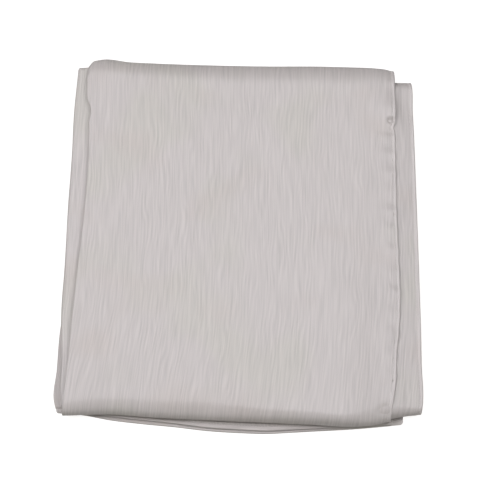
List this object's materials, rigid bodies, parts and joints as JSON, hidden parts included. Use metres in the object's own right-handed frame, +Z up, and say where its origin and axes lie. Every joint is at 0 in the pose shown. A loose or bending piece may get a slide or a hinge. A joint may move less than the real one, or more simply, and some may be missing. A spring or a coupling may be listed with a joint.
{
  "type": "folded hijab shawl",
  "caption": "Plain crinkle satin hijab shawl, folded lengthwise and then across into a soft flat packet with its long hems on one side.",
  "frame": {"origin": "middle of the packet's outline, on the surface that it rests on", "axes": "+X across the packet from the folded left side to the hemmed right side, +Y along it from the near fold to the far fold, +Z up"},
  "size_m": [0.4096, 0.4724, 0.0242],
  "materials": {
    "satin_face": "pale warm grey crinkle satin, soft sheen, fine creases along the length",
    "satin_long_hem": "narrow turned hem in the same satin, lightly puckered by its stitching",
    "satin_folded": "crinkle satin, folded edge and free end",
    "satin_end_hem": "narrow turned end hem in the same satin",
    "satin_hidden": "stacked edges of the hidden layers"
  },
  "bodies": {
    "root": {"top_ply": "satin_face", "top_ply_hem": "satin_long_hem", "under_ply": "satin_face", "under_ply_hem": "satin_long_hem", "middle_lengths": "satin_folded", "middle_end_hem": "satin_end_hem", "lower_length": "satin_folded", "lower_end_hem": "satin_end_hem", "inner_layers": "satin_hidden"}
  },
  "joints": []
}
